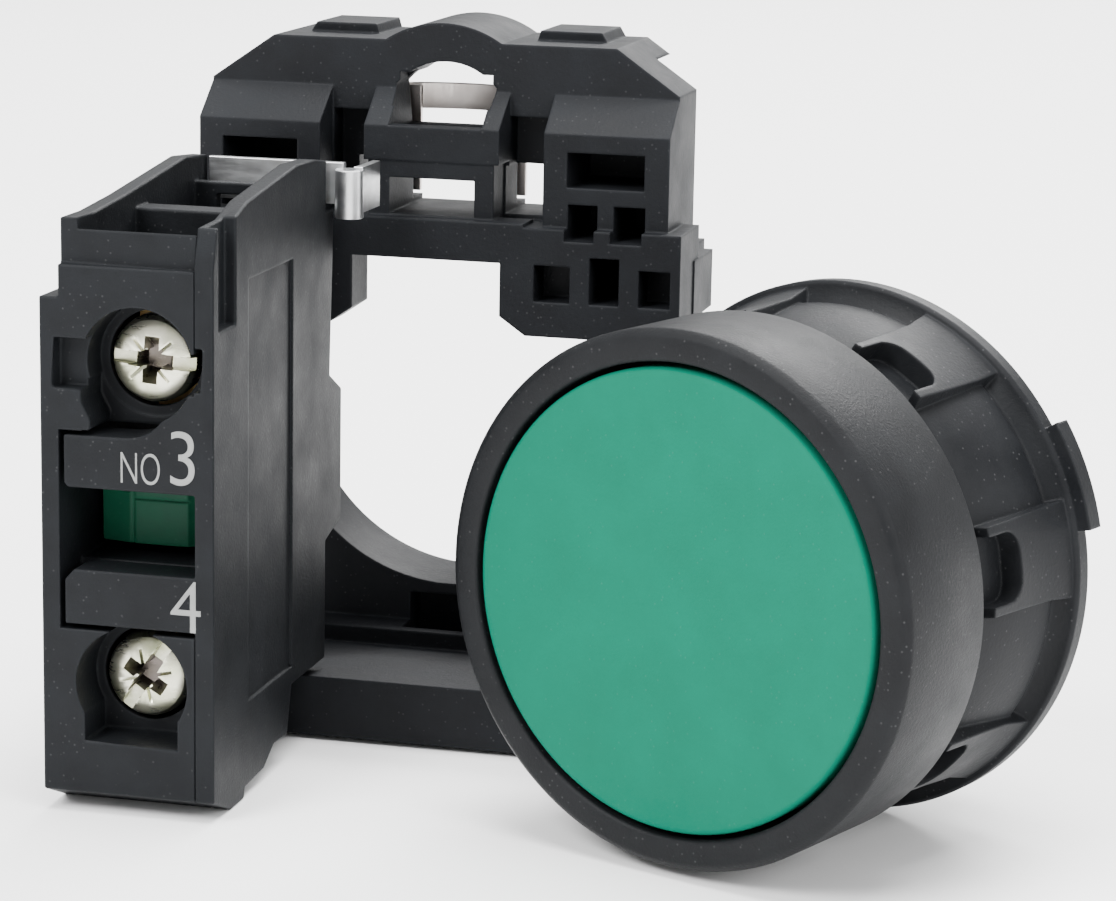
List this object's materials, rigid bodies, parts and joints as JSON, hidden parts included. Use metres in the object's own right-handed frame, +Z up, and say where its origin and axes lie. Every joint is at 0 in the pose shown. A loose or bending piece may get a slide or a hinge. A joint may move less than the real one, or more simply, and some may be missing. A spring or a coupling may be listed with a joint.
{
  "type": "industrial push button",
  "caption": "Flush green spring-return push button for a 22 mm panel hole, dismounted: operating head with ribbed fixing nut, beside its mounting collar and normally open contact block.",
  "frame": {"origin": "middle of the floor under the bounding box of both groups as they stand at rest", "axes": "+X to the right as seen from the wiring side, +Y away from the wiring side towards the panel along the collar's bore, +Z up"},
  "size_m": [0.0579, 0.0432, 0.042],
  "materials": {
    "black_plastic": "fine moulded grain",
    "green_cap": "matte moulded",
    "green_plunger": "satin moulded",
    "rubber": "matte",
    "zinc_steel": "passivated zinc plating",
    "spring_steel": "drawn stainless",
    "brass": "plain strip",
    "silver": "polished contact alloy"
  },
  "bodies": {
    "base": {"mounting_collar": "black_plastic", "collar_lock_spring": "spring_steel", "block_housing": "black_plastic", "block_side_cover": "black_plastic", "fixed_contact_upper": "brass", "fixed_contact_lower": "brass", "contact_tip_upper": "silver", "contact_tip_lower": "silver", "plunger_spring": "spring_steel"},
    "latch": {"latch_clip": "zinc_steel"},
    "plunger": {"plunger": "green_plunger", "contact_spring": "spring_steel"},
    "bridge": {"contact_bridge": "brass", "bridge_tip_upper": "silver", "bridge_tip_lower": "silver"},
    "clamp_upper": {"clamp_washer_upper": "zinc_steel"},
    "clamp_lower": {"clamp_washer_lower": "zinc_steel"},
    "screw_upper": {"terminal_screw_upper": "zinc_steel"},
    "screw_lower": {"terminal_screw_lower": "zinc_steel"},
    "head": {"bezel": "black_plastic", "head_body": "black_plastic", "panel_gasket": "rubber", "cap_seal": "rubber", "return_spring": "spring_steel"},
    "button": {"button_cap": "green_cap", "pusher": "black_plastic", "push_disc": "black_plastic"},
    "nut": {"fixing_nut": "black_plastic"}
  },
  "joints": [
    {"name": "head_place", "type": "slide", "parent": "base", "child": "head", "axis": [1, 0, 0], "range_m": [0, 0.02]},
    {"name": "button_press", "type": "slide", "parent": "head", "child": "button", "axis": [0.3786, 0.9255, 0], "range_m": [0, 0.0043], "stiffness_N_per_m": 400, "springref_m": -0.004},
    {"name": "nut_turn", "type": "hinge", "parent": "head", "child": "nut", "pos_m": [0.01305, -0.00333, 0.015], "axis": [0.3786, 0.9255, 0], "continuous": true},
    {"name": "latch_lift", "type": "slide", "parent": "base", "child": "latch", "axis": [0, 0, 1], "range_m": [0, 0.0015], "stiffness_N_per_m": 200, "springref_m": -0.001},
    {"name": "plunger_travel", "type": "slide", "parent": "base", "child": "plunger", "axis": [0, -1, 0], "range_m": [0, 0.0043], "stiffness_N_per_m": 250, "springref_m": -0.003},
    {"name": "bridge_travel", "type": "slide", "parent": "base", "child": "bridge", "axis": [0, -1, 0], "range_m": [0, 0.0026]},
    {"name": "clamp_upper_travel", "type": "slide", "parent": "base", "child": "clamp_upper", "axis": [0, 1, 0], "range_m": [0, 0.0015]},
    {"name": "screw_upper_turn", "type": "hinge", "parent": "clamp_upper", "child": "screw_upper", "pos_m": [-0.02225, -0.01281, 0.0254], "axis": [0, 1, 0], "range_deg": [0, 900]},
    {"name": "clamp_lower_travel", "type": "slide", "parent": "base", "child": "clamp_lower", "axis": [0, 1, 0], "range_m": [0, 0.0015]},
    {"name": "screw_lower_turn", "type": "hinge", "parent": "clamp_lower", "child": "screw_lower", "pos_m": [-0.02265, -0.01281, 0.0075], "axis": [0, 1, 0], "range_deg": [0, 900]}
  ],
  "couplings": [
    {"joint": "bridge_travel", "follows": "plunger_travel", "ratio": 0.6046},
    {"joint": "screw_upper_turn", "follows": "clamp_upper_travel", "rad_per_m": 10471},
    {"joint": "screw_lower_turn", "follows": "clamp_lower_travel", "rad_per_m": 10471}
  ]
}
